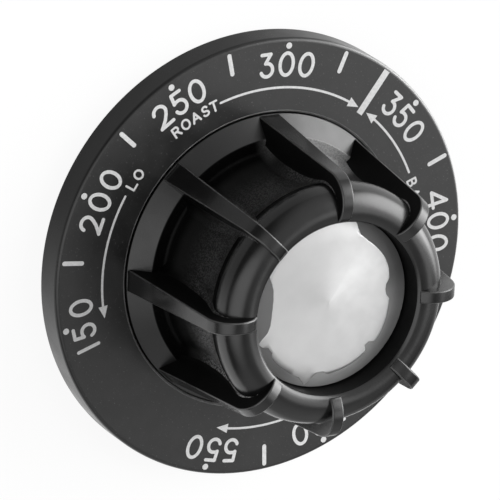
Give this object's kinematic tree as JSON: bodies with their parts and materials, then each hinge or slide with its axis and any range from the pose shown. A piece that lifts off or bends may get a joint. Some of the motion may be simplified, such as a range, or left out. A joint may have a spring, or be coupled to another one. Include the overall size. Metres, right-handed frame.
{
  "type": "oven control knob",
  "caption": "Round black oven knob: ribbed hollow grip with a spun metal cap, set in a wide flat dial skirt printed with a temperature scale, pushed onto a D-shaped shaft.",
  "frame": {"origin": "on the knob's axis, in the plane of the skirt's back edge, on which the knob rests", "axes": "+Z along the knob's axis towards the grip, +Y through the rib next to the scale's plain bar"},
  "size_m": [0.0856, 0.0856, 0.036],
  "materials": {
    "skirt_plastic": "satin black moulding with a printed light grey scale",
    "grip_plastic": "polished black phenolic moulding",
    "cap_aluminium": "spun, bright, worn towards its border",
    "bush_brass": "turned and broached",
    "fastener_steel": "zinc plated"
  },
  "bodies": {
    "root": {"dial_skirt": "skirt_plastic", "knob_body": "grip_plastic", "face_cap": "cap_aluminium", "shaft_bush": "bush_brass", "shaft_spring": "fastener_steel", "clamp_washer_1": "fastener_steel", "clamp_screw_1": "fastener_steel", "clamp_washer_2": "fastener_steel", "clamp_screw_2": "fastener_steel", "clamp_washer_3": "fastener_steel", "clamp_screw_3": "fastener_steel"}
  },
  "joints": []
}
